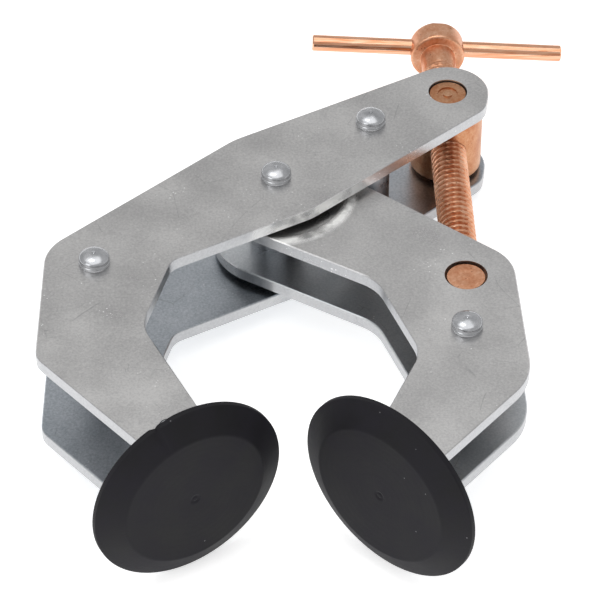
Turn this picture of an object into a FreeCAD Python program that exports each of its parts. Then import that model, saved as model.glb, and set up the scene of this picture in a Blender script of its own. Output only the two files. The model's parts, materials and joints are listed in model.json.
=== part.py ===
"""Cantilever clamp: two riveted bell-crank arms that a screw spreads to close the jaws.

The clamp is modelled flat, with its arm plates level and the main pivot at the
origin: X runs to the screw side, Y runs from the jaws to the T-bar, and Z is the
pivot's own axis. At the end every piece is laid down as the clamp rests on a
bench, on the rims of its two round pads and on one rivet, and moved so that the
middle of its footprint is the origin.
"""
import FreeCAD
import Part
import math
import os

Vector = FreeCAD.Vector

# ---- overall layout, seen along the pivot (mm, degrees) ----
screw_arm_length = 76.7        # main pivot to each screw trunnion
outer_screw_angle = 37.9       # direction of the nut trunnion from the pivot
inner_screw_angle = -34.15     # direction of the end trunnion from the pivot
outer_jaw_reach = 125.9        # main pivot to the left jaw's pin
outer_jaw_angle = -105.13
inner_jaw_reach = 129.2        # main pivot to the right jaw's pin
inner_jaw_angle = -70.51

# ---- plates ----
plate_thickness = 4.76
inner_gap = 14.6               # between the two inner plates
side_gap = 2.1                 # between an inner plate and its outer plate
outer_pivot_near = 20.8        # pivot to the outer plate's edge on the jaw side
outer_pivot_far = 25.0
inner_pivot_round = 21.8       # round end of the inner plate about the pivot
nut_end_radius = 14.4          # outer plate's round end about the nut trunnion
end_eye_radius = 16.6          # inner plate's round corner about the end trunnion
jaw_tip_radius = 11.7
rear_corner_radius = 16.8

# ---- rivets and the main pivot ----
rivet_diameter = 8.0
rivet_head_diameter = 10.4
rivet_skirt = 2.3              # straight part of a rivet head
rivet_dome = 2.2
spacer_diameter = 14.0
pivot_diameter = 12.7
pivot_sleeve_diameter = 19.0
pivot_washer_diameter = 24.0
running_fit = 0.05             # radial play of a turning part
rear_rivet_at = (-60.0, -44.5)
front_rivet_at = (32.9, 29.7)
inner_rivet_at = (62.7, -68.7)

# ---- screw ----
screw_diameter = 12.7
thread_pitch = 2.54
thread_depth = 1.27
head_diameter = 19.8
head_length = 12.2
head_crown = 3.4               # bevel round the head's outer end
head_above_nut = 50.3          # nut trunnion to the T-bar
shank_length = 9.0             # plain neck under the head
head_across_flats = 17.6       # spanner flats, above and below the T-bar
head_collar = 3.2              # round part of the head, next to the neck
journal_diameter = 8.0         # turned-down end in the end trunnion
bar_diameter = 6.0
bar_length = 92.6
bar_turn = 4.6                 # how far the T-bar is turned about the screw

# ---- trunnions ----
trunnion_pin_diameter = 12.7
nut_body_diameter = 25.4
nut_body_length = 24.8         # between the two collars that meet the plates
nut_collar_diameter = 17.0
end_body_diameter = 19.0
nut_trunnion_play = 0.5        # radial play of the nut trunnion in its plates
end_trunnion_play = 0.87       # radial play of the end trunnion in its plates
pin_recess = 0.8               # pin ends sit this far inside the plates' faces
washer_diameter = 12.8
washer_thickness = 1.2

# ---- jaws ----
pad_diameter = 66.6
pad_face_diameter = 49.5
pad_rim = 2.0                  # straight edge of the pad
pad_bevel = 4.3                # height of the sloping ring round the face
pad_back = 9.5                 # jaw pin to the back of the pad's rim
pad_recess = 3.0               # depth of the dished back
left_pad_direction = -59.0     # where each pad faces as the clamp lies
right_pad_direction = -130.3
jaw_pin_diameter = 6.35
block_radius = 9.0
block_stud_diameter = 12.0
block_stud_length = 1.9

# ---- how the clamp lies on the bench ----
rest_tilt = -3.526             # about X: the jaw end is propped up by the pads
rest_roll = -0.05              # about Y


def polar(length, angle, centre=(0.0, 0.0)):
    turn = math.radians(angle)
    return (centre[0] + length * math.cos(turn), centre[1] + length * math.sin(turn))


nut_at = polar(screw_arm_length, outer_screw_angle)
end_at = polar(screw_arm_length, inner_screw_angle)
left_jaw_at = polar(outer_jaw_reach, outer_jaw_angle)
right_jaw_at = polar(inner_jaw_reach, inner_jaw_angle)
inner_level = inner_gap / 2.0
outer_level = inner_level + plate_thickness + side_gap
top_level = outer_level + plate_thickness


def belt(stops):
    """Closed outline that runs straight between round stops and turns about each.

    A stop is (centre, radius). The outline keeps the metal on its left, so a
    positive radius is an outside corner and a negative one an inside corner.
    """
    count = len(stops)
    leaves = []
    arrives = []
    for index in range(count):
        (ax, ay), ar = stops[index]
        (bx, by), br = stops[(index + 1) % count]
        gap = math.hypot(bx - ax, by - ay)
        run = math.sqrt(gap * gap - (br - ar) ** 2)
        heading = math.atan2(by - ay, bx - ax) - math.atan2(br - ar, run)
        side = (-math.sin(heading), math.cos(heading))
        leaves.append(Vector(ax - ar * side[0], ay - ar * side[1], 0))
        arrives.append(Vector(bx - br * side[0], by - br * side[1], 0))
    edges = []
    for index in range(count):
        (cx, cy), radius = stops[index]
        first = arrives[index - 1]
        last = leaves[index]
        start = math.atan2(first.y - cy, first.x - cx)
        sweep = math.atan2(last.y - cy, last.x - cx) - start
        if radius > 0:
            sweep = sweep % (2 * math.pi)
        else:
            sweep = -((-sweep) % (2 * math.pi))
        middle = start + sweep / 2.0
        bulge = Vector(cx + abs(radius) * math.cos(middle), cy + abs(radius) * math.sin(middle), 0)
        edges.append(Part.Arc(first, bulge, last).toShape())
        edges.append(Part.makeLine(last, arrives[index]))
    return Part.Wire(edges)


def upright(radius, bottom, top, at):
    return Part.makeCylinder(radius, top - bottom, Vector(at[0], at[1], bottom))


def plate(outline, bottom, holes):
    """One arm plate: its outline, its holes (place, diameter), and broken edges."""
    blank = Part.Face(outline).extrude(Vector(0, 0, plate_thickness))
    blank = blank.makeChamfer(0.35, blank.Edges)
    blank.translate(Vector(0, 0, bottom))
    top = bottom + plate_thickness
    for at, diameter in holes:
        blank = blank.cut(upright(diameter / 2.0, bottom - 1, top + 1, at))
    return blank


def both_sides(upper_bottom, outline, holes):
    upper = plate(outline, upper_bottom, holes)
    lower = plate(outline, -upper_bottom - plate_thickness, holes)
    return upper, lower


def outer_outline():
    return belt([
        (left_jaw_at, jaw_tip_radius),
        ((-26.2, -73.15), -16.0),
        ((-28.7, -48.1), -7.0),
        ((0.0, 0.0), outer_pivot_near),
        (polar(6.0, -50.0, nut_at), 9.8),
        (nut_at, nut_end_radius),
        ((0.0, 0.0), outer_pivot_far),
        (rear_rivet_at, rear_corner_radius),
        ((-68.2, -86.8), 8.6),
    ])


def inner_outline():
    return belt([
        (right_jaw_at, jaw_tip_radius),
        ((59.4, -84.55), 23.0),
        (end_at, end_eye_radius),
        ((0.0, 0.0), inner_pivot_round),
        ((20.94, -56.65), -16.0),
        ((32.2, -80.2), -14.0),
        (polar(2.4, 170.0, right_jaw_at), 9.9),
    ])


def head_profile(level):
    """Half section of a domed rivet head that stands on a plate's face."""
    radius = rivet_head_diameter / 2.0
    crown = 1.6
    points = [(0, level), (radius, level), (radius, level + rivet_skirt)]
    edges = [Part.makeLine(Vector(a[0], 0, a[1]), Vector(b[0], 0, b[1]))
             for a, b in zip(points, points[1:])]
    top = level + rivet_skirt + rivet_dome
    shoulder = Vector(radius, 0, level + rivet_skirt)
    haunch = Vector(radius * 0.72, 0, level + rivet_skirt + rivet_dome * 0.72)
    flat = Vector(crown, 0, top)
    edges.append(Part.Arc(shoulder, haunch, flat).toShape())
    edges.append(Part.makeLine(flat, Vector(0, 0, top)))
    edges.append(Part.makeLine(Vector(0, 0, top), Vector(0, 0, level)))
    face = Part.Face(Part.Wire(edges))
    return face.revolve(Vector(0, 0, 0), Vector(0, 0, 1), 360)


def rivet(at, reach, shoulder_diameter=0.0, shoulder_half=0.0):
    """Headed pin through a pair of plates whose outer faces are at plus and minus reach."""
    pin = upright(rivet_diameter / 2.0, -reach, reach, (0, 0))
    if shoulder_diameter:
        pin = pin.fuse(upright(shoulder_diameter / 2.0, -shoulder_half, shoulder_half, (0, 0)))
    upper = head_profile(reach)
    lower = upper.mirror(Vector(0, 0, 0), Vector(0, 0, 1))
    pin = pin.fuse([upper, lower]).removeSplitter()
    pin.translate(Vector(at[0], at[1], 0))
    return pin


def flush_pin(at, reach):
    """Headless jaw pin whose chamfered ends are level with the plates' outer faces."""
    pin = upright(jaw_pin_diameter / 2.0, -reach, reach, at)
    rims = [edge for edge in pin.Edges if len(edge.Vertexes) == 1]
    return pin.makeChamfer(0.4, rims)


def tube(at, outside, inside, bottom, top):
    return upright(outside / 2.0, bottom, top, at).cut(upright(inside / 2.0, bottom - 1, top + 1, at))


def along_screw(shape):
    """Turns a piece built up the Z axis to lie along the screw, starting at the end trunnion."""
    shape.rotate(Vector(0, 0, 0), Vector(1, 0, 0), -90)
    heading = math.degrees(math.atan2(nut_at[1] - end_at[1], nut_at[0] - end_at[0]))
    shape.rotate(Vector(0, 0, 0), Vector(0, 0, 1), heading - 90)
    shape.translate(Vector(end_at[0], end_at[1], 0))
    return shape


screw_span = math.hypot(nut_at[0] - end_at[0], nut_at[1] - end_at[1])
body_flat = end_body_diameter / 2.0 - 1.0          # spot face each side of the end trunnion
thread_start = body_flat + washer_thickness
bar_station = screw_span + head_above_nut
head_start = bar_station - head_length / 2.0
thread_end = head_start - shank_length


def thread_ridge():
    """Trapezoid swept along the helix, with its root sunk a little into the core.

    It runs a whole number of turns and a half, so its two ends never meet the core's seam.
    """
    root = screw_diameter / 2.0 - thread_depth
    crest = screw_diameter / 2.0
    foot = root - 0.15
    lean = math.tan(math.radians(14.5))
    half_crest = 0.3707 * thread_pitch / 2.0
    half_foot = half_crest + lean * (crest - foot)
    turns = math.floor((thread_end - thread_start) / thread_pitch - 1.5) + 0.5
    helix = Part.makeHelix(thread_pitch, turns * thread_pitch, root)
    corners = [Vector(foot, 0, -half_foot), Vector(crest, 0, -half_crest),
               Vector(crest, 0, half_crest), Vector(foot, 0, half_foot)]
    profile = Part.makePolygon(corners + corners[:1])
    ridge = Part.Wire(helix).makePipeShell([profile], True, True)
    ridge.rotate(Vector(0, 0, 0), Vector(0, 0, 1), 40)
    ridge.translate(Vector(0, 0, thread_start + thread_pitch / 2.0))
    return ridge


def clamp_screw():
    root = screw_diameter / 2.0 - thread_depth
    core = Part.makeCylinder(root, thread_end - thread_start, Vector(0, 0, thread_start))
    journal_end = -body_flat - washer_thickness - 1.6
    journal = Part.makeCylinder(journal_diameter / 2.0, thread_start - journal_end,
                                Vector(0, 0, journal_end))
    neck = Part.makeCylinder(screw_diameter / 2.0 - 0.3, shank_length, Vector(0, 0, thread_end))
    head = Part.makeCylinder(head_diameter / 2.0, head_length, Vector(0, 0, head_start))
    rims = [edge for edge in head.Edges if len(edge.Vertexes) == 1]
    head = head.makeChamfer(0.9, [edge for edge in rims if edge.CenterOfMass.z < bar_station])
    rims = [edge for edge in head.Edges if len(edge.Vertexes) == 1]
    crown = max(rims, key=lambda edge: edge.CenterOfMass.z)
    head = head.makeChamfer(head_crown, [crown])
    upper_flat = Part.makeBox(2 * head_diameter, head_diameter, head_length,
                              Vector(-head_diameter, head_across_flats / 2.0, head_start + head_collar))
    upper_flat.rotate(Vector(0, 0, 0), Vector(0, 0, 1), bar_turn)
    lower_flat = upper_flat.copy()
    lower_flat.rotate(Vector(0, 0, 0), Vector(0, 0, 1), 180)
    head = head.cut([upper_flat, lower_flat])
    screw = core.fuse([journal, neck, head])
    screw = screw.fuse(thread_ridge()).removeSplitter()
    cross = Part.makeCylinder(bar_diameter / 2.0, head_diameter * 2, Vector(-head_diameter, 0, bar_station),
                              Vector(1, 0, 0))
    cross.rotate(Vector(0, 0, 0), Vector(0, 0, 1), bar_turn)
    screw = screw.cut(cross)
    return along_screw(screw)


def t_bar():
    bar = Part.makeCylinder(bar_diameter / 2.0, bar_length, Vector(-bar_length / 2.0, 0, bar_station),
                            Vector(1, 0, 0))
    rims = [edge for edge in bar.Edges if len(edge.Vertexes) == 1]
    bar = bar.makeChamfer(0.4, rims)
    bar.rotate(Vector(0, 0, 0), Vector(0, 0, 1), bar_turn)
    return along_screw(bar)


def screw_washer(start):
    ring = Part.makeCylinder(washer_diameter / 2.0, washer_thickness, Vector(0, 0, start))
    bore = Part.makeCylinder(journal_diameter / 2.0, washer_thickness + 2, Vector(0, 0, start - 1))
    return along_screw(ring.cut(bore))


def nut_trunnion():
    half = nut_body_length / 2.0
    body = upright(nut_body_diameter / 2.0, -half, half, nut_at)
    rims = [edge for edge in body.Edges if len(edge.Vertexes) == 1]
    body = body.makeChamfer(0.5, rims)
    collars = upright(nut_collar_diameter / 2.0, -outer_level + 0.2, outer_level - 0.2, nut_at)
    reach = top_level - pin_recess
    pins = upright(trunnion_pin_diameter / 2.0, -reach, reach, nut_at)
    block = body.fuse([collars, pins]).removeSplitter()
    for side in (-1, 1):
        tip = side * reach
        ring = tube(nut_at, 7.0, 3.4, tip - 0.5, tip + 0.5)
        block = block.cut(ring)
    bore = Part.makeCylinder(screw_diameter / 2.0 + running_fit, nut_body_diameter * 3,
                             Vector(0, 0, screw_span - nut_body_diameter * 1.5))
    return block.cut(along_screw(bore))


def end_trunnion():
    body = upright(end_body_diameter / 2.0, -inner_level + 0.15, inner_level - 0.15, (0, 0))
    reach = inner_level + plate_thickness - pin_recess
    slab = end_body_diameter
    flats = Part.makeBox(slab * 2, 2 * body_flat, slab, Vector(-slab, -body_flat, -slab / 2.0))
    body = body.common(flats)
    pins = upright(trunnion_pin_diameter / 2.0, -reach, reach, (0, 0))
    block = body.fuse(pins).removeSplitter()
    heading = math.degrees(math.atan2(nut_at[1] - end_at[1], nut_at[0] - end_at[0]))
    block.rotate(Vector(0, 0, 0), Vector(0, 0, 1), heading - 90)
    block.translate(Vector(end_at[0], end_at[1], 0))
    bore = Part.makeCylinder(journal_diameter / 2.0 + running_fit, slab * 3, Vector(0, 0, -slab * 1.5))
    return block.cut(along_screw(bore))


def facing(shape, at, direction):
    """Turns a piece built up the Z axis from a jaw pin to face along a direction in the plate plane."""
    shape.rotate(Vector(0, 0, 0), Vector(0, 1, 0), 90)
    shape.rotate(Vector(0, 0, 0), Vector(0, 0, 1), direction)
    shape.translate(Vector(at[0], at[1], 0))
    return shape


def pad(at, direction):
    """Round nylon pad: flat face, sloping ring, thin rim, and a dished back that clears the arm's tip."""
    rim = pad_diameter / 2.0
    face = pad_face_diameter / 2.0
    floor = pad_back + pad_recess
    front = pad_back + pad_rim + pad_bevel
    section = [(0, floor), (face - 1.0, floor), (face - 1.0, pad_back), (rim - 0.4, pad_back),
               (rim, pad_back + 0.4), (rim, pad_back + pad_rim), (face, front), (0, front)]
    wire = Part.makePolygon([Vector(r, 0, z) for r, z in section + section[:1]])
    disc = Part.Face(wire).revolve(Vector(0, 0, 0), Vector(0, 0, 1), 360)
    socket = Part.makeCylinder(block_stud_diameter / 2.0, block_stud_length, Vector(0, 0, floor))
    dimple = Part.makeCylinder(2.2, 0.5, Vector(0, 0, front - 0.5))
    stub = Part.makeCylinder(0.9, 0.5, Vector(0, 0, front - 0.5))
    disc = disc.cut([socket, dimple.cut(stub)])
    return facing(disc, at, direction)


def jaw_block(at, direction):
    """Swivel block between the plates: round about its pin, flat against the pad, with a stud."""
    half = inner_level - 0.15
    floor = pad_back + pad_recess
    barrel = Part.makeCylinder(block_radius, 2 * half, Vector(half, 0, 0), Vector(-1, 0, 0))
    nose = Part.makeBox(2 * half, 2 * block_radius, floor, Vector(-half, -block_radius, 0))
    stud = Part.makeCylinder(block_stud_diameter / 2.0, block_stud_length + 1, Vector(0, 0, floor - 1))
    hole = Part.makeCylinder(jaw_pin_diameter / 2.0 + running_fit, 4 * half, Vector(2 * half, 0, 0),
                             Vector(-1, 0, 0))
    block = barrel.fuse([nose, stud]).cut(hole).removeSplitter()
    return facing(block, at, direction)


def build():
    nodes = {}
    jaw_hole = jaw_pin_diameter
    nut_hole = trunnion_pin_diameter + 2 * nut_trunnion_play
    end_hole = trunnion_pin_diameter + 2 * end_trunnion_play
    pivot_hole = pivot_diameter + 2 * running_fit
    nodes["outer_plate_upper"], nodes["outer_plate_lower"] = both_sides(
        outer_level, outer_outline(),
        [((0, 0), rivet_diameter), (rear_rivet_at, rivet_diameter), (front_rivet_at, rivet_diameter),
         (left_jaw_at, jaw_hole), (nut_at, nut_hole)])
    nodes["inner_plate_upper"], nodes["inner_plate_lower"] = both_sides(
        inner_level, inner_outline(),
        [((0, 0), pivot_hole), (inner_rivet_at, rivet_diameter), (right_jaw_at, jaw_hole),
         (end_at, end_hole)])
    nodes["pivot_pin"] = rivet((0, 0), top_level, pivot_diameter, outer_level)
    nodes["pivot_sleeve"] = tube((0, 0), pivot_sleeve_diameter, pivot_hole, -inner_level, inner_level)
    inner_top = inner_level + plate_thickness
    nodes["pivot_washer_upper"] = tube((0, 0), pivot_washer_diameter, pivot_diameter,
                                       inner_top + running_fit, outer_level)
    nodes["pivot_washer_lower"] = tube((0, 0), pivot_washer_diameter, pivot_diameter,
                                       -outer_level, -inner_top - running_fit)
    nodes["rear_rivet"] = rivet(rear_rivet_at, top_level)
    nodes["rear_spacer"] = tube(rear_rivet_at, spacer_diameter, rivet_diameter, -outer_level, outer_level)
    nodes["front_rivet"] = rivet(front_rivet_at, top_level)
    nodes["front_spacer"] = tube(front_rivet_at, spacer_diameter, rivet_diameter, -outer_level, outer_level)
    nodes["inner_rivet"] = rivet(inner_rivet_at, inner_top)
    nodes["inner_spacer"] = tube(inner_rivet_at, spacer_diameter, rivet_diameter, -inner_level, inner_level)
    nodes["left_jaw_pin"] = flush_pin(left_jaw_at, top_level)
    nodes["right_jaw_pin"] = flush_pin(right_jaw_at, inner_top)
    nodes["left_jaw_spacer_upper"] = tube(left_jaw_at, spacer_diameter, jaw_pin_diameter,
                                          inner_level, outer_level)
    nodes["left_jaw_spacer_lower"] = tube(left_jaw_at, spacer_diameter, jaw_pin_diameter,
                                          -outer_level, -inner_level)
    nodes["nut_trunnion"] = nut_trunnion()
    nodes["end_trunnion"] = end_trunnion()
    nodes["clamp_screw"] = clamp_screw()
    nodes["t_bar"] = t_bar()
    nodes["thrust_washer"] = screw_washer(body_flat)
    nodes["end_washer"] = screw_washer(-body_flat - washer_thickness)
    nodes["left_jaw_block"] = jaw_block(left_jaw_at, left_pad_direction)
    nodes["right_jaw_block"] = jaw_block(right_jaw_at, right_pad_direction)
    nodes["left_pad"] = pad(left_jaw_at, left_pad_direction)
    nodes["right_pad"] = pad(right_jaw_at, right_pad_direction)
    return nodes


def lay_down(nodes):
    """Rests the clamp on the bench and puts the middle of its footprint at the origin."""
    for shape in nodes.values():
        shape.rotate(Vector(0, 0, 0), Vector(1, 0, 0), rest_tilt)
        shape.rotate(Vector(0, 0, 0), Vector(0, 1, 0), rest_roll)
    box = Part.makeCompound(list(nodes.values())).optimalBoundingBox(False)
    shift = Vector(-(box.XMin + box.XMax) / 2.0, -(box.YMin + box.YMax) / 2.0, -box.ZMin)
    for shape in nodes.values():
        shape.translate(shift)
    return shift


nodes = build()
shift = lay_down(nodes)
os.makedirs("parts", exist_ok=True)
for name, shape in nodes.items():
    shape.exportStep("parts/" + name + ".step")
print("main pivot sits at", shift)
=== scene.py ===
# %% [markdown]
# # A cantilever clamp on a pale bench
#
# The real tool is a pair of bell-crank arms cut from flat steel plate. A screw
# behind the pivot spreads the arms, and two round nylon pads close in front of
# it. The metal is plated: zinc on the plates and rivets, copper on the screw,
# the T-bar and the two trunnions.
#
# The flat and machined pieces come from the engineering model as they are. What
# is turned, moulded or rolled to a soft edge is made here as a surface worked
# out with numpy: the rivets, the screw and the pads.

import bpy
import json
import math
import numpy as np
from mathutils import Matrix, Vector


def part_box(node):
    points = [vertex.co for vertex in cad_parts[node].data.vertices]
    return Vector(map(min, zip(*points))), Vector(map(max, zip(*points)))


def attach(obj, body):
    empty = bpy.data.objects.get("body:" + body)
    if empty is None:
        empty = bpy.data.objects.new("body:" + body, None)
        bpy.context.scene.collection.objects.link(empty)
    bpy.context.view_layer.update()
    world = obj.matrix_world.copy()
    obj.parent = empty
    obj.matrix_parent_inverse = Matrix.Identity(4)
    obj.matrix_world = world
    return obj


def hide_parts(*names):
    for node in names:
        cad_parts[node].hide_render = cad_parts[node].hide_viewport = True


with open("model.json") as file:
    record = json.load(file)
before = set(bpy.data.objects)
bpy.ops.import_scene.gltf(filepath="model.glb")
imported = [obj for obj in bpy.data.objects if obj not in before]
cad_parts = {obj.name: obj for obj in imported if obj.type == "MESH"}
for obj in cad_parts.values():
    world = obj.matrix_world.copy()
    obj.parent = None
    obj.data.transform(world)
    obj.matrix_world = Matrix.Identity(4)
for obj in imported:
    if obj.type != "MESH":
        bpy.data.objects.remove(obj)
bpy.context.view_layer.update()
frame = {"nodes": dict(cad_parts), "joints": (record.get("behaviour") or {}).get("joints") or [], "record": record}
nodes = frame["nodes"]
joints = {joint["name"]: joint for joint in frame["joints"]}
print("pieces in the frame:", len(nodes))

# %% [markdown]
# ## Where things are
#
# Every place is read from the frame, so nothing here has to be measured twice.
# The clamp lies with its jaw end propped up by the pads, so its plates lean a
# few degrees. Two directions describe it: `plate_up` is the pivot's own axis,
# and `screw_way` runs down the screw from the T-bar.

# %% Directions and centres
MM = 0.001


def place(joint_name):
    """The point a joint turns about, in metres."""
    return np.array(joints[joint_name]["pos_m"])


def box_middle(node):
    """The middle of a piece's box, in metres."""
    low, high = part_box(node)
    return (np.array(low) + np.array(high)) / 2


plate_up = -np.array(joints["main_pivot"]["axis"])
screw_way = np.array(joints["screw_turn"]["axis"])
pivot = place("main_pivot")


def points_of(node):
    """All the points of a piece's mesh, one row each, in metres."""
    mesh = nodes[node].data
    flat = np.empty(len(mesh.vertices) * 3)
    mesh.vertices.foreach_get("co", flat)
    return flat.reshape(-1, 3)


def heights(node):
    """The lowest and highest level of a piece along the pivot's axis, from the clamp's mid plane, in mm."""
    level = (points_of(node) - pivot) @ plate_up / MM
    return level.min(), level.max()


plate_thickness = heights("outer_plate_upper")[1] - heights("outer_plate_upper")[0]
print("plates lean by", round(math.degrees(math.acos(plate_up[2])), 2), "degrees")
print("plates are", round(plate_thickness, 2), "mm thick")

# %% [markdown]
# ## Turning a profile
#
# A rivet, a screw head and a moulded pad are all *surfaces of revolution*: one
# profile, carried round an axis. Blender has a Spin tool and a Screw modifier
# for this. Working the surface out as a grid of numbers is exact, needs no
# mode changes, and lets the radius depend on the angle, which is what a screw
# thread or a nicked rim needs.

# %% A grid of points becomes a mesh


def new_piece(name, points, faces):
    """A mesh object from an array of points and a list of face index lists."""
    mesh = bpy.data.meshes.new(name)
    mesh.from_pydata(points.tolist(), [], faces)
    mesh.validate()
    mesh.shade_smooth()
    mesh.set_sharp_from_angle(angle=math.radians(32))
    piece = bpy.data.objects.new(name, mesh)
    bpy.context.scene.collection.objects.link(piece)
    return piece


def frame_about(axis):
    """Two directions square to an axis and to each other."""
    axis = np.asarray(axis) / np.linalg.norm(axis)
    first = np.cross(axis, plate_up)
    if np.linalg.norm(first) < 0.1:
        first = np.cross(axis, screw_way)
    first = first / np.linalg.norm(first)
    return first, np.cross(axis, first), axis


def turned_shell(profile, centre, axis, steps=96, reshape=None, first=None):
    """Points and faces of a closed turned shell.

    With the profile's radius r and height z, and the angle a round the axis,
    point = centre + r cos(a) first + r sin(a) second + z axis. The profile
    starts and ends on the axis, and those two ends are single points.
    """
    side, other, axis = frame_about(axis)
    if first is not None:
        side = np.asarray(first)
        other = np.cross(axis, side)
    profile = np.asarray(profile, float)
    angle = np.linspace(0, 2 * np.pi, steps, endpoint=False)
    radius, a = np.meshgrid(profile[1:-1, 0], angle, indexing="ij")
    height = np.broadcast_to(profile[1:-1, 1][:, None], radius.shape)
    if reshape is not None:
        radius, height = reshape(radius, height, a)
    ring = (radius * np.cos(a))[..., None] * side + (radius * np.sin(a))[..., None] * other
    ring = ring + height[..., None] * axis
    body = ring.reshape(-1, 3) * MM + centre
    poles = np.array([profile[0, 1], profile[-1, 1]])[:, None] * axis * MM + centre
    points = np.vstack([body, poles])
    rows = radius.shape[0]
    index = np.arange(rows * steps).reshape(rows, steps)
    ahead = np.roll(index, -1, axis=1)
    quads = np.stack([index[:-1], ahead[:-1], ahead[1:], index[1:]], axis=-1).reshape(-1, 4)
    start = np.stack([np.full(steps, rows * steps), ahead[0], index[0]], axis=-1)
    end = np.stack([np.full(steps, rows * steps + 1), index[-1], ahead[-1]], axis=-1)
    return points, quads.tolist() + start.tolist() + end.tolist()


def soften(corners, radii, steps=6):
    """A profile whose corners are rounded.

    Each corner is replaced by the quadratic curve that starts and ends the
    given distance away along its two sides: (1-t)^2 p + 2t(1-t) c + t^2 q.
    """
    corners = np.asarray(corners, float)
    t = np.linspace(0, 1, steps)[:, None]
    pieces = [corners[:1]]
    for before, corner, after, radius in zip(corners, corners[1:], corners[2:], radii):
        if radius <= 0:
            pieces.append(corner[None])
            continue
        back = corner + (before - corner) * radius / np.linalg.norm(before - corner)
        on = corner + (after - corner) * radius / np.linalg.norm(after - corner)
        pieces.append((1 - t) ** 2 * back + 2 * t * (1 - t) * corner + t ** 2 * on)
    pieces.append(corners[-1:])
    return np.vstack(pieces)


# %% [markdown]
# ## Rivets
#
# Each rivet is a steel pin whose ends were formed into round heads. A head has
# a short straight skirt with a shallow step left by the forming tool, then a
# dome, and a small ring pressed in the middle of the dome. The soft corners of
# the profile are what catch the light, so they are part of the shape and not a
# trick of the material. The middle one is the main pivot, and has a thicker
# shank between the plates.

# %% Rivet profile and pieces
shank_radius, pivot_radius = 4.0, 6.35


def rivet_profile(reach, head_radius, head_height, shank, shoulder=0.0, shoulder_half=0.0):
    """Half profile of a rivet from its lower pole to its upper pole, in mm.

    The dome is a squashed quarter circle: with the angle t from 0 to 90
    degrees, radius = head radius x cos t and height = skirt + dome x sin t.
    """
    skirt = 0.5 * head_height
    crown = reach + head_height
    t = np.linspace(0.12, 1.40, 16)
    dome_height = reach + skirt + (crown - reach - skirt) * np.sin(t)
    dome = np.stack([head_radius * 0.985 * np.cos(t), dome_height], -1)
    mark = np.array([(0.13, -0.10), (0.115, -0.26), (0.085, -0.28), (0.07, -0.10), (0.045, -0.04),
                     (0.0, 0.0)])
    mark = mark * (head_radius, 1.0) + (0.0, crown)
    foot = [(shank, reach), (head_radius * 0.975, reach), (head_radius, reach + 0.22),
            (head_radius, reach + skirt * 0.50), (head_radius * 0.965, reach + skirt * 0.60),
            (head_radius * 0.965, reach + skirt * 0.72), (head_radius * 0.985, reach + skirt * 0.86)]
    neck = [(shoulder, shoulder_half - 0.4), (shoulder - 0.4, shoulder_half), (shank, shoulder_half)]
    upper = np.vstack([neck + foot if shoulder else foot, dome, mark])
    return np.vstack([upper[::-1] * (1.0, -1.0), upper])


def rivet(name, body, plate, shoulder=0.0):
    """A rivet in the place of the plain one, with the same reach and the same heads.

    The head's radius is the distance from the axis of the plain rivet's
    farthest point above the plate.
    """
    reach = heights(plate)[1]
    top = heights(name)[1]
    middle = box_middle(name)
    level = (points_of(name) - pivot) @ plate_up / MM
    out = (points_of(name) - middle) / MM
    out = out - (out @ plate_up)[:, None] * plate_up
    head_radius = np.linalg.norm(out, axis=1)[level > reach + 0.1].max()
    profile = rivet_profile(reach, head_radius, top - reach, shank_radius, shoulder, reach - plate_thickness)
    points, faces = turned_shell(profile, middle, plate_up, 72)
    piece = new_piece(name + "_turned", points, faces)
    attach(piece, body)
    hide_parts(name)
    print(name, "reach", round(reach, 2), "head", round(2 * head_radius, 2), "x", round(top - reach, 2))
    return piece


rivets = [rivet("rear_rivet", "outer_arm", "outer_plate_upper"),
          rivet("front_rivet", "outer_arm", "outer_plate_upper"),
          rivet("pivot_pin", "outer_arm", "outer_plate_upper", pivot_radius),
          rivet("inner_rivet", "inner_arm", "inner_plate_upper")]

# %% [markdown]
# ## Screw
#
# The screw is cut from one bar: a plain journal that turns in the lower
# trunnion, an Acme thread, a plain neck, and a head that the T-bar goes
# through. The head is round next to the neck, then has two flats for a
# spanner. A thread is a turned profile whose radius also depends on how far
# round the axis a point is, so one grid of numbers makes the whole screw. A
# Screw modifier could make the thread, but not its run-out into the neck.

# %% Screw profile and piece
pitch, crest_radius, thread_depth = 2.54, 6.35, 1.27
journal_radius, neck_length = 4.0, 9.0
collar_height, flat_from_axis, crown_bevel = 3.2, 8.8, 3.4
screw_points = (points_of("clamp_screw") - place("screw_turn")) / MM
along_screw = -screw_points @ screw_way
off_screw = np.linalg.norm(screw_points + along_screw[:, None] * screw_way, axis=1)
screw_low, screw_high = along_screw.min(), along_screw.max()
head_radius = off_screw.max()
head_low = along_screw[off_screw > crest_radius + 0.4].min()
thread_low = along_screw[off_screw > crest_radius - 0.02].min() - 0.4
neck_low = head_low - neck_length
bar_points = points_of("t_bar")
bar_way = np.linalg.svd(bar_points - bar_points.mean(axis=0), full_matrices=False)[2][0]
print("screw", round(screw_high - screw_low, 1), "mm long, head", round(2 * head_radius, 1), "mm across")


def thread_form(turns):
    """Share of the thread's depth at a point, from how many turns along the helix it is.

    The distance from the middle of the crest goes through a smooth step: 1 on
    the crest, 0 in the root, and a 29 degree flank between them.
    """
    distance = np.abs(turns - np.round(turns)) * pitch
    rise = np.clip((0.86 - distance) / 0.42, 0, 1)
    return rise * rise * (3 - 2 * rise) - 0.05 * (distance / 0.47) ** 2 * (rise > 0.99)


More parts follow.
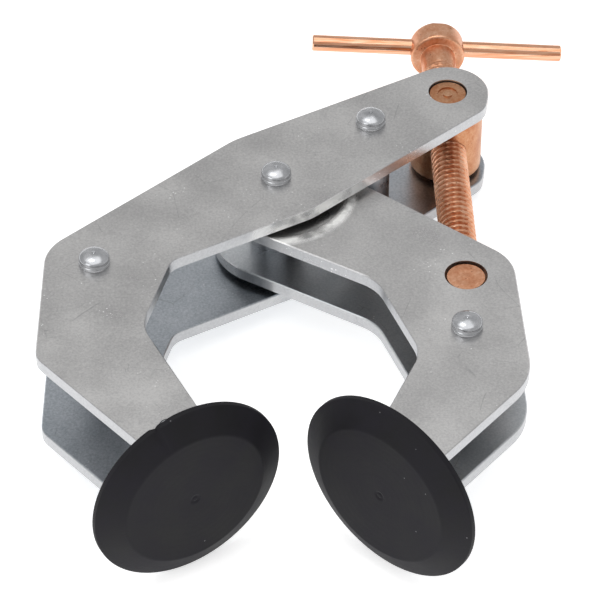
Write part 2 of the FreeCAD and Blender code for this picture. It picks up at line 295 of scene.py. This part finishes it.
def cut_screw(radius, height, angle):
    """Lowers the crest radius to the thread form, and cuts the head's flats.

    The thread fades out at both ends. On a flat the radius is the flat's
    distance from the axis over the sine of the angle from the T-bar.
    """
    threaded = (height > thread_low) & (height < neck_low)
    run_out = np.clip((height - thread_low) / 1.2, 0, 1) * np.clip((neck_low - height) / 6.0, 0, 1)
    form = thread_form(height / pitch - angle / (2 * np.pi))
    plain_end = np.where(height > (thread_low + neck_low) / 2, 1.0, 0.0)
    depth = thread_depth * (run_out * (1 - form) + (1 - run_out) * (1 - plain_end))
    flat = flat_from_axis / np.maximum(np.abs(np.sin(angle)), 0.1)
    radius = np.where(height > head_low + collar_height, np.minimum(radius, flat), radius)
    return np.where(threaded, radius - depth, radius), height


root = crest_radius - thread_depth
rows = np.arange(thread_low + 0.05, neck_low, 0.17)
tail = soften([(0.0, screw_low), (journal_radius, screw_low), (journal_radius, thread_low),
               (root, thread_low)], [0.5, 0.0])
flats_low = head_low + collar_height
neck_and_head = soften([(crest_radius, neck_low), (crest_radius - 0.1, head_low),
                        (head_radius - 1.6, head_low), (head_radius, head_low),
                        (head_radius, flats_low - 0.1), (head_radius, flats_low + 0.1),
                        (head_radius, screw_high - crown_bevel),
                        (head_radius - crown_bevel, screw_high), (0.0, screw_high)],
                       [0.25, 0.0, 1.1, 0.0, 0.0, 1.2, 0.9])
screw_profile = np.vstack([tail, np.stack([np.full(rows.size, crest_radius), rows], -1), neck_and_head])
points, faces = turned_shell(screw_profile, place("screw_turn"), -screw_way, 90, cut_screw, bar_way)
screw = new_piece("cut_screw", points, faces)
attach(screw, "screw")
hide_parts("clamp_screw")
print("thread rows", rows.size, "faces", len(faces))

# %% [markdown]
# ## Pads
#
# The pads are injection-moulded nylon. Real moulded edges are never sharp, so
# the rim, the foot of the bevel and the edge of the face are softened by a few
# tenths of a millimetre, and the rim's edge gets the thin bright line that
# shows where it is. In the middle of the face is the gate mark, where the
# plastic flowed in. The back is dished to clear the arm's tip. The left pad has
# a small chip in its rim.

# %% Pad profile and pieces
pad_radius, face_radius = 33.3, 24.75
dish_depth, rim_thickness = 3.0, 2.0
chip_angle = 5.03


def pad_profile(back, front):
    """Half profile of a pad from the middle of its dished back to its gate mark, in mm."""
    floor = back + dish_depth
    hollow = face_radius - 1.0
    corners = [(0.0, floor), (hollow, floor), (hollow, back), (pad_radius, back),
               (pad_radius, back + rim_thickness), (face_radius, front), (1.9, front),
               (1.3, front - 0.25), (0.8, front - 0.25), (0.6, front - 0.1), (0.0, front - 0.1)]
    return soften(corners, [0.6, 0.4, 0.4, 0.35, 0.6, 0.25, 0.2, 0.15, 0.1], 7)


def chipped_rim(radius, height, angle):
    """Takes a chip out of the rim, and a shallower one beside it.

    Each is depth x exp(-(angle from its middle / its width) squared), and both
    fade out over the last 1.2 mm of the rim.
    """
    rim = np.clip((radius - pad_radius + 1.5) / 1.2, 0, 1)
    deep = 1.1 * np.exp(-((angle - chip_angle) / 0.03) ** 2)
    shallow = 0.45 * np.exp(-((angle - chip_angle + 0.1) / 0.05) ** 2)
    return radius - (deep + shallow) * rim, height


def pad(name, swivel, body, reshape=None):
    """One moulded pad, square to the line from its jaw pin through its middle."""
    jaw_pin = place(swivel)
    facing = box_middle(name) - jaw_pin
    facing = facing - (facing @ plate_up) * plate_up
    facing = facing / np.linalg.norm(facing)
    depth = (points_of(name) - jaw_pin) @ facing / MM
    points, faces = turned_shell(pad_profile(depth.min(), depth.max()), jaw_pin, facing, 240, reshape)
    piece = new_piece(name + "_moulded", points, faces)
    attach(piece, body)
    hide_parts(name)
    print(name, "from", round(depth.min(), 2), "to", round(depth.max(), 2), "mm in front of its pin")
    return piece, facing


left_pad, left_facing = pad("left_pad", "left_pad_swivel", "left_jaw", chipped_rim)
right_pad, right_facing = pad("right_pad", "right_pad_swivel", "right_jaw")

# %% [markdown]
# ## Materials
#
# Colours are given as the hex values a painter would read off the real
# surface, and one function turns them from sRGB to the linear values that
# light is worked out in. One small function adds a node with its settings and
# links. Pattern sizes are given in millimetres.

# %% Colour and node helpers


def linear(hex_colour):
    """A linear colour from an sRGB hex value such as '#C9855A'."""
    value = hex_colour.lstrip("#")
    srgb = np.array([int(value[i:i + 2], 16) for i in (0, 2, 4)]) / 255
    rgb = np.where(srgb <= 0.04045, srgb / 12.92, ((srgb + 0.055) / 1.055) ** 2.4)
    return (*rgb.tolist(), 1.0)


def per(size_mm):
    """Texture scale whose features are about this many millimetres across."""
    return 1000.0 / size_mm


def add(tree, kind, settings=None, out=0, **inputs):
    """Adds a node and gives back one of its outputs.

    Each input is a number, a colour, or another node's output to link from;
    i0, i1 and so on name an input by its place. A colour ramp's stops are
    among the settings, as (position, hex colour).
    """
    made = tree.nodes.new("ShaderNode" + kind)
    for key, value in (settings or {}).items():
        if key == "stops":
            ramp = made.color_ramp.elements
            while len(ramp) < len(value):
                ramp.new(0.5)
            for element, (position, colour) in zip(ramp, value):
                element.position = position
                element.color = linear(colour)
        else:
            setattr(made, key, value)
    for key, value in inputs.items():
        socket = made.inputs[int(key[1:])] if key[1:].isdigit() else made.inputs[key.replace("_", " ")]
        if isinstance(value, bpy.types.NodeSocket):
            tree.links.new(value, socket)
        else:
            socket.default_value = value
    return made.outputs[out]


def blank_material(name):
    """A material with a principled shader: the material, its tree, the shader and Object coordinates."""
    material = bpy.data.materials.new(name)
    material.use_nodes = True
    tree = material.node_tree
    tree.nodes.clear()
    shader = tree.nodes.new("ShaderNodeBsdfPrincipled")
    out = tree.nodes.new("ShaderNodeOutputMaterial")
    tree.links.new(shader.outputs["BSDF"], out.inputs["Surface"])
    return material, tree, shader, add(tree, "TexCoord", out=3)


def wear(piece, material):
    """The piece wears one material all over."""
    piece.data.materials.clear()
    piece.data.materials.append(material)


# %% [markdown]
# ### Zinc-plated plate
#
# Low-carbon steel plate, blanked to shape, tumbled and zinc plated. To the eye
# that gives four things: a satin grey face with a cloudy mottle about 24 mm
# across and fine grain; hairline scratches in all directions; tiny white
# flecks, which are painted glints; and edges that are lighter and smoother,
# worn smooth round the pivot, where the plates slide past each other, and painted white there as a highlight.
# On the inner upper plate a painted white highlight also runs over the face along the outer plate's edge.
# Which part of the plate a point is on comes from its height between the plate's two faces.

# %% Zinc-plated plate


def zinc_plate(name, plate, cloud_light, cloud_dark, edge_wear_and_highlight, highlight_track_mm=None):
    """Plate finish: face and edge are told apart by height, and the worn, highlighted part by distance from the
    pivot.

    How much the edges round the pivot are worn smooth and painted white as a highlight is given from 0 to 1.
    The radius of a painted white highlight on this plate's face, along the next plate's edge, is given in mm,
    or None where there is none.
    """
    material, tree, shader, where = blank_material(name)
    low, high = heights(plate)
    half = (high - low) / 2 * MM
    middle = pivot + plate_up * (low + high) / 2 * MM
    from_middle = add(tree, "VectorMath", {"operation": "SUBTRACT"}, i0=where, i1=middle.tolist())
    level = add(tree, "VectorMath", {"operation": "DOT_PRODUCT"}, 1, i0=from_middle, i1=plate_up.tolist())
    level = add(tree, "Math", {"operation": "ABSOLUTE"}, i0=level)
    face = add(tree, "MapRange", Value=level, From_Min=half - 0.4 * MM, From_Max=half - 0.05 * MM)
    far = add(tree, "VectorMath", {"operation": "LENGTH"}, 1, i0=from_middle)
    near = add(tree, "MapRange", {"interpolation_type": "SMOOTHSTEP"}, Value=far, From_Min=20 * MM,
               From_Max=40 * MM, To_Min=edge_wear_and_highlight, To_Max=0.0)

    cloud = add(tree, "TexNoise", Vector=where, Scale=per(24), Detail=2.0, Roughness=0.5)
    grain = add(tree, "TexNoise", Vector=where, Scale=per(0.8), Detail=3.0, Roughness=0.7)
    tone = add(tree, "Mix", i0=0.58, i2=cloud, i3=grain)
    face_colour = add(tree, "ValToRGB", {"stops": [(0.38, cloud_dark), (0.62, cloud_light)]}, Fac=tone)
    edge_colour = add(tree, "ValToRGB", {"stops": [(0.3, "#AEAFB1"), (0.7, "#C0C1C3")]}, Fac=grain)
    colour = add(tree, "Mix", {"data_type": "RGBA"}, 2, i0=face, i6=edge_colour, i7=face_colour)

    # hairline scratches: some of the borders between large, slightly bent cells
    wobble = add(tree, "TexNoise", out=1, Vector=where, Scale=per(30), Detail=0.0)
    bent = add(tree, "VectorMath", {"operation": "MULTIPLY_ADD"}, i0=wobble, i1=(12 * MM,) * 3, i2=where)
    border = add(tree, "TexVoronoi", {"feature": "DISTANCE_TO_EDGE"}, Vector=bent, Scale=per(21))
    hair = add(tree, "MapRange", Value=border, From_Min=0.002, From_Max=0.008, To_Min=1.0, To_Max=0.0)
    patch = add(tree, "TexNoise", Vector=where, Scale=per(9), Detail=1.0)
    chosen = add(tree, "MapRange", Value=patch, From_Min=0.52, From_Max=0.62)
    scratch = add(tree, "Math", {"operation": "MULTIPLY"}, i0=hair, i1=chosen)
    dull = add(tree, "Math", {"operation": "MULTIPLY"}, i0=scratch, i1=0.28)
    colour = add(tree, "Mix", {"data_type": "RGBA"}, 2, i0=dull, i6=colour, i7=linear("#77797C"))

    # painted glints: white flecks about 0.5 mm across, in patches
    glint_speck = add(tree, "TexVoronoi", {"feature": "F1"}, Vector=where, Scale=per(1.5))
    glint_speck = add(tree, "MapRange", Value=glint_speck, From_Min=0.13, From_Max=0.20, To_Min=1.0, To_Max=0.0)
    glint_patches = add(tree, "TexNoise", Vector=where, Scale=per(11), Detail=2.0)
    glint_patches = add(tree, "MapRange", Value=glint_patches, From_Min=0.60, From_Max=0.68)
    painted_glint = add(tree, "Math", {"operation": "MULTIPLY"}, i0=glint_speck, i1=glint_patches)
    colour = add(tree, "Mix", {"data_type": "RGBA"}, 2, i0=painted_glint, i6=colour, i7=linear("#FFFFFF"))

    # where parts rub, the zinc is worn smooth, and painted white as a highlight, in broken streaks
    off_face = add(tree, "Math", {"operation": "SUBTRACT"}, i0=1.0, i1=face)
    wear_and_painted_highlight = add(tree, "Math", {"operation": "MULTIPLY"}, i0=near, i1=off_face)
    relief = add(tree, "Math", {"operation": "SUBTRACT"}, i0=grain, i1=scratch)
    # painted highlight: a white track on the face along the next plate's edge, with a raised ridge in the bump
    if highlight_track_mm is not None:
        off_highlight_track = add(tree, "Math", {"operation": "SUBTRACT"}, i0=far, i1=highlight_track_mm * MM)
        off_highlight_track = add(tree, "Math", {"operation": "ABSOLUTE"}, i0=off_highlight_track)
        painted_highlight_track = add(tree, "MapRange", Value=off_highlight_track, From_Min=0.8 * MM, From_Max=2.6 * MM, To_Min=1.0,
                    To_Max=0.0)
        painted_highlight_track = add(tree, "Math", {"operation": "MULTIPLY"}, i0=painted_highlight_track, i1=face)
        wear_and_painted_highlight = add(tree, "Math", {"operation": "MAXIMUM"}, i0=wear_and_painted_highlight, i1=painted_highlight_track)
        relief = add(tree, "Math", {"operation": "MULTIPLY_ADD"}, i0=painted_highlight_track, i1=9.0, i2=relief)
    streak = add(tree, "TexNoise", Vector=where, Scale=per(9), Detail=4.0)
    streak = add(tree, "MapRange", Value=streak, From_Min=0.36, From_Max=0.56)
    wear_and_painted_highlight = add(tree, "Math", {"operation": "MULTIPLY"}, i0=streak, i1=wear_and_painted_highlight)
    # the white mixed in here is partly real wear and partly painted highlight
    colour = add(tree, "Mix", {"data_type": "RGBA"}, 2, i0=wear_and_painted_highlight, i6=colour, i7=linear("#F6F6F4"))
    tree.links.new(colour, shader.inputs["Base Color"])
    metal = add(tree, "MapRange", Value=wear_and_painted_highlight, To_Min=1.0, To_Max=0.3)
    tree.links.new(metal, shader.inputs["Metallic"])
    satin = add(tree, "MapRange", Value=cloud, From_Min=0.3, From_Max=0.7, To_Min=0.27, To_Max=0.36)
    polish = add(tree, "Mix", i0=wear_and_painted_highlight, i2=satin, i3=0.20)
    tree.links.new(polish, shader.inputs["Roughness"])
    depth = add(tree, "MapRange", Value=face, To_Min=0.08, To_Max=0.28)
    bump = add(tree, "Bump", Strength=depth, Distance=0.06 * MM, Height=relief)
    tree.links.new(bump, shader.inputs["Normal"])
    return material


upper_zinc = zinc_plate("zinc plate, outer upper", "outer_plate_upper", "#D6D5D4", "#BAB9B9", 0.9)
# The lower plates get darker, bluer colours than the upper ones: painted shade from the plates above them, and a
# painted bluish reflection.
lower_zinc_painted_shade = zinc_plate("zinc plate, outer lower", "outer_plate_lower", "#C2C7CD", "#9CA3AA", 0.2)
inner_upper_zinc = zinc_plate("zinc plate, inner upper", "inner_plate_upper", "#DAD9D8", "#BFBEBE", 0.3, 26)
inner_lower_zinc_painted_shade = zinc_plate("zinc plate, inner lower", "inner_plate_lower", "#D4D7DA", "#BBC0C4", 0.3)

# %% [markdown]
# ### Bright zinc and turned steel
#
# The rivets were formed cold, so their zinc lies on a smoother surface than
# the plates', with small dents. The spacers and washers are turned and left
# with fine tool marks round their axis, too fine to show one by one.

# %% Bright zinc and turned steel


def bright_metal(name, light, dark, rough, dent_mm):
    """Smooth metal with soft dents dent_mm across, a little rougher and lighter on their crests."""
    material, tree, shader, where = blank_material(name)
    dent = add(tree, "TexNoise", Vector=where, Scale=per(dent_mm), Detail=3.0, Roughness=0.6)
    colour = add(tree, "ValToRGB", {"stops": [(0.3, dark), (0.7, light)]}, Fac=dent)
    tree.links.new(colour, shader.inputs["Base Color"])
    shader.inputs["Metallic"].default_value = 1.0
    polish = add(tree, "MapRange", Value=dent, From_Min=0.3, From_Max=0.7, To_Min=rough - 0.06,
                 To_Max=rough + 0.06)
    tree.links.new(polish, shader.inputs["Roughness"])
    bump = add(tree, "Bump", Strength=0.35, Distance=0.06 * MM, Height=dent)
    tree.links.new(bump, shader.inputs["Normal"])
    return material


rivet_zinc = bright_metal("bright zinc on cold-formed steel", "#CACBCE", "#ABADB0", 0.24, 3.0)
turned_steel = bright_metal("turned steel", "#A9ABAF", "#979A9E", 0.30, 4.0)

# %% [markdown]
# ### Copper plate
#
# A clamp like this is used by welders, so its screw, T-bar and trunnions are
# copper plated: spatter doesn't stick to copper. The plating is satin and a
# little uneven, redder where it is thick and in recesses, with small dark pits
# about 0.5 mm across. A turned end face shows rings round its axis: `centre`
# and `axis` say where they are.

# %% Copper plate


def copper_plate(name, centre, axis, ring_mm, rough, tones=("#C27B55", "#D9A07E", "#EABFA2")):
    """Uneven copper over steel, pitted, with rings ring_mm apart round the axis through a centre."""
    material, tree, shader, where = blank_material(name)
    patch = add(tree, "TexNoise", Vector=where, Scale=per(7), Detail=4.0, Roughness=0.6)
    grain = add(tree, "TexNoise", Vector=where, Scale=per(0.9), Detail=3.0, Roughness=0.65)
    tone = add(tree, "Mix", i0=0.45, i2=patch, i3=grain)
    stops = [(0.32, tones[0]), (0.5, tones[1]), (0.68, tones[2])]
    colour = add(tree, "ValToRGB", {"stops": stops}, Fac=tone)
    pit = add(tree, "TexVoronoi", {"feature": "F1"}, Vector=where, Scale=per(2.2))
    pit = add(tree, "MapRange", Value=pit, From_Min=0.08, From_Max=0.14, To_Min=0.75, To_Max=0.0)
    colour = add(tree, "Mix", {"data_type": "RGBA"}, 2, i0=pit, i6=colour, i7=linear("#7A452C"))
    tree.links.new(colour, shader.inputs["Base Color"])
    shader.inputs["Metallic"].default_value = 1.0
    polish = add(tree, "MapRange", Value=grain, From_Min=0.3, From_Max=0.7, To_Min=rough - 0.05,
                 To_Max=rough + 0.08)
    tree.links.new(polish, shader.inputs["Roughness"])
    out = add(tree, "VectorMath", {"operation": "SUBTRACT"}, i0=where, i1=centre.tolist())
    out = add(tree, "VectorMath", {"operation": "CROSS_PRODUCT"}, i0=out, i1=axis.tolist())
    out = add(tree, "VectorMath", {"operation": "LENGTH"}, 1, i0=out)
    ring = add(tree, "Math", {"operation": "MULTIPLY"}, i0=out, i1=2 * math.pi * per(ring_mm))
    ring = add(tree, "Math", {"operation": "COSINE"}, i0=ring)
    relief = add(tree, "Math", {"operation": "MULTIPLY_ADD"}, i0=ring, i1=0.6, i2=grain)
    relief = add(tree, "Math", {"operation": "SUBTRACT"}, i0=relief, i1=pit)
    bump = add(tree, "Bump", Strength=0.4, Distance=0.14 * MM, Height=relief)
    tree.links.new(bump, shader.inputs["Normal"])
    return material


nut_copper = copper_plate("copper plate, nut trunnion", place("nut_swivel"), plate_up, 4.2, 0.36,
                          ("#AC6A46", "#C08A66", "#D2A888"))
end_copper = copper_plate("copper plate, end trunnion", place("screw_turn"), plate_up, 4.2, 0.40)
screw_copper = copper_plate("copper plate, screw", place("screw_turn"), screw_way, 4.6, 0.36)
block_copper = copper_plate("copper plate, jaw block", place("left_pad_swivel"), plate_up, 1.2, 0.40)

# %% [markdown]
# ### Drawn T-bar
#
# The T-bar is drawn rod, so the copper on it lies over fine lines that run
# along the bar and shines more than on the turned pieces. The lines come from
# a noise that is stretched forty times along the bar.

# %% Drawn T-bar


def drawn_copper(name):
    """Copper over drawn rod: fine lines along X, the bar's way."""
    material, tree, shader, where = blank_material(name)
    streak = add(tree, "VectorMath", {"operation": "MULTIPLY"}, i0=where, i1=(0.025, 1.0, 1.0))
    line = add(tree, "TexNoise", Vector=streak, Scale=per(0.7), Detail=2.0, Roughness=0.6)
    colour = add(tree, "ValToRGB", {"stops": [(0.3, "#DB9168"), (0.7, "#F3C7A9")]}, Fac=line)
    tree.links.new(colour, shader.inputs["Base Color"])
    shader.inputs["Metallic"].default_value = 1.0
    shader.inputs["Roughness"].default_value = 0.17
    bump = add(tree, "Bump", Strength=0.3, Distance=0.015 * MM, Height=line)
    tree.links.new(bump, shader.inputs["Normal"])
    return material


bar_copper = drawn_copper("copper plate, drawn bar")

# %% [markdown]
# ### Black nylon
#
# Glass-filled nylon 6, black, injection moulded. The mould's spark-eroded skin
# is matte, with a 0.5 mm texture whose pores weaken its sheen, and the plastic
# flowed out from the gate in faint rings. A few specks of dust lie on it.

# %% Black nylon


def moulded_nylon(name, centre, axis):
    """Matte black nylon, with flow rings 2.4 mm apart round the gate."""
    material, tree, shader, where = blank_material(name)
    skin = add(tree, "TexNoise", Vector=where, Scale=per(0.5), Detail=2.0, Roughness=0.5)
    flow = add(tree, "TexNoise", Vector=where, Scale=per(14), Detail=4.0, Roughness=0.65)
    colour = add(tree, "ValToRGB", {"stops": [(0.3, "#0A090D"), (0.7, "#16141C")]}, Fac=flow)
    dust = add(tree, "TexVoronoi", {"feature": "F1"}, Vector=where, Scale=per(9))
    dust = add(tree, "MapRange", Value=dust, From_Min=0.018, From_Max=0.03, To_Min=0.6, To_Max=0.0)
    colour = add(tree, "Mix", {"data_type": "RGBA"}, 2, i0=dust, i6=colour, i7=linear("#8A888C"))
    tree.links.new(colour, shader.inputs["Base Color"])
    polish = add(tree, "MapRange", Value=flow, From_Min=0.3, From_Max=0.7, To_Min=0.58, To_Max=0.70)
    tree.links.new(polish, shader.inputs["Roughness"])
    shader.inputs["IOR"].default_value = 1.50
    shader.inputs["Specular IOR Level"].default_value = 0.26
    out = add(tree, "VectorMath", {"operation": "SUBTRACT"}, i0=where, i1=centre.tolist())
    out = add(tree, "VectorMath", {"operation": "CROSS_PRODUCT"}, i0=out, i1=axis.tolist())
    out = add(tree, "VectorMath", {"operation": "LENGTH"}, 1, i0=out)
    ring = add(tree, "Math", {"operation": "MULTIPLY"}, i0=out, i1=2 * math.pi * per(2.4))
    ring = add(tree, "Math", {"operation": "SINE"}, i0=ring)
    relief = add(tree, "Math", {"operation": "MULTIPLY_ADD"}, i0=ring, i1=0.12, i2=skin)
    bump = add(tree, "Bump", Strength=0.35, Distance=0.10 * MM, Height=relief)
    tree.links.new(bump, shader.inputs["Normal"])
    return material


left_nylon = moulded_nylon("black nylon, left pad", place("left_pad_swivel"), left_facing)
right_nylon = moulded_nylon("black nylon, right pad", place("right_pad_swivel"), right_facing)

# %% Put the finishes on
finish_of_slot = {"zinc_plate": upper_zinc, "bright_rivet": rivet_zinc, "plain_steel": turned_steel,
                  "copper_plate": block_copper, "black_nylon": left_nylon}
for part in frame["record"]["subparts"]:
    wear(nodes[part["node"]], finish_of_slot[part["material_slot"]])
wear(nodes["outer_plate_lower"], lower_zinc_painted_shade)
wear(nodes["inner_plate_upper"], inner_upper_zinc)
wear(nodes["inner_plate_lower"], inner_lower_zinc_painted_shade)
wear(nodes["nut_trunnion"], nut_copper)
wear(nodes["end_trunnion"], end_copper)
wear(nodes["t_bar"], bar_copper)
wear(screw, screw_copper)
wear(left_pad, left_nylon)
wear(right_pad, right_nylon)
for piece in rivets:
    wear(piece, rivet_zinc)
print("finishes on", len(nodes), "nodes and", len(rivets) + 3, "new pieces")

# %% [markdown]
# ## Bench, light and camera
#
# The clamp lies on a pale lit table: light that comes up through the table
# takes away the dark shadow under the arms and puts the white line along the
# plates' near edges. The room is one soft even light. A wide lamp overhead
# draws the bright line along the T-bar, a small one puts the spark on the rivets'
# domes, and one in front fills the round copper parts. A long lens from the
# front and above keeps the plates' edges nearly parallel.

# %% Floor
bpy.ops.mesh.primitive_plane_add(size=6.0, location=(0, 0, 0))
floor = bpy.context.object
floor.name = "bench"
floor_material, _, floor_shader, _ = blank_material("pale lit table")
floor_shader.inputs["Base Color"].default_value = linear("#F2F2F2")
floor_shader.inputs["Roughness"].default_value = 0.9
floor_shader.inputs["Specular IOR Level"].default_value = 0.0
floor_shader.inputs["Emission Color"].default_value = linear("#FFFFFF")
floor_shader.inputs["Emission Strength"].default_value = 0.55
wear(floor, floor_material)

# %% Light
world = bpy.data.worlds.new("soft studio")
bpy.context.scene.world = world
world.use_nodes = True
world.node_tree.nodes["Background"].inputs["Color"].default_value = linear("#FFFFFF")
world.node_tree.nodes["Background"].inputs["Strength"].default_value = 0.60


def lamp(name, at, width, power, aim=(0.0, 0.0, 0.02)):
    """A square soft lamp that points at the clamp."""
    light = bpy.data.lights.new(name, "AREA")
    light.size = width
    light.energy = power
    holder = bpy.data.objects.new(name, light)
    bpy.context.scene.collection.objects.link(holder)
    way = Vector(aim) - Vector(at)
    holder.location = at
    holder.rotation_euler = way.to_track_quat("-Z", "Y").to_euler()
    return holder


lamp("wide overhead", (-0.1, -0.05, 1.5), 1.7, 8.5)
lamp("small overhead", (-0.3, 0.2, 1.35), 0.3, 1.6)
lamp("front left", (-1.0, -0.9, 0.9), 0.8, 3.0)

# %% Camera
eye_from_pivot = np.array([8.11, -791.4, 674.7]) * MM
downward = math.radians(42.0)
plate_right = np.cross(np.array([0.0, 1.0, 0.0]), plate_up)
plate_right = plate_right / np.linalg.norm(plate_right)
plate_back = np.cross(plate_up, plate_right)
eye = pivot + eye_from_pivot @ np.stack([plate_right, plate_back, plate_up])
look = math.cos(downward) * plate_back - math.sin(downward) * plate_up
camera_data = bpy.data.cameras.new("camera")
camera_data.lens = 180.0
camera_data.sensor_width = 36.0
camera_data.clip_end = 20
camera = bpy.data.objects.new("camera", camera_data)
bpy.context.scene.collection.objects.link(camera)
camera.location = eye
camera.rotation_euler = Vector(look).to_track_quat("-Z", "Y").to_euler()
bpy.context.scene.camera = camera
bpy.context.scene.view_settings.view_transform = "Standard"
print("camera is", round(float(np.linalg.norm(eye)), 3), "m away")
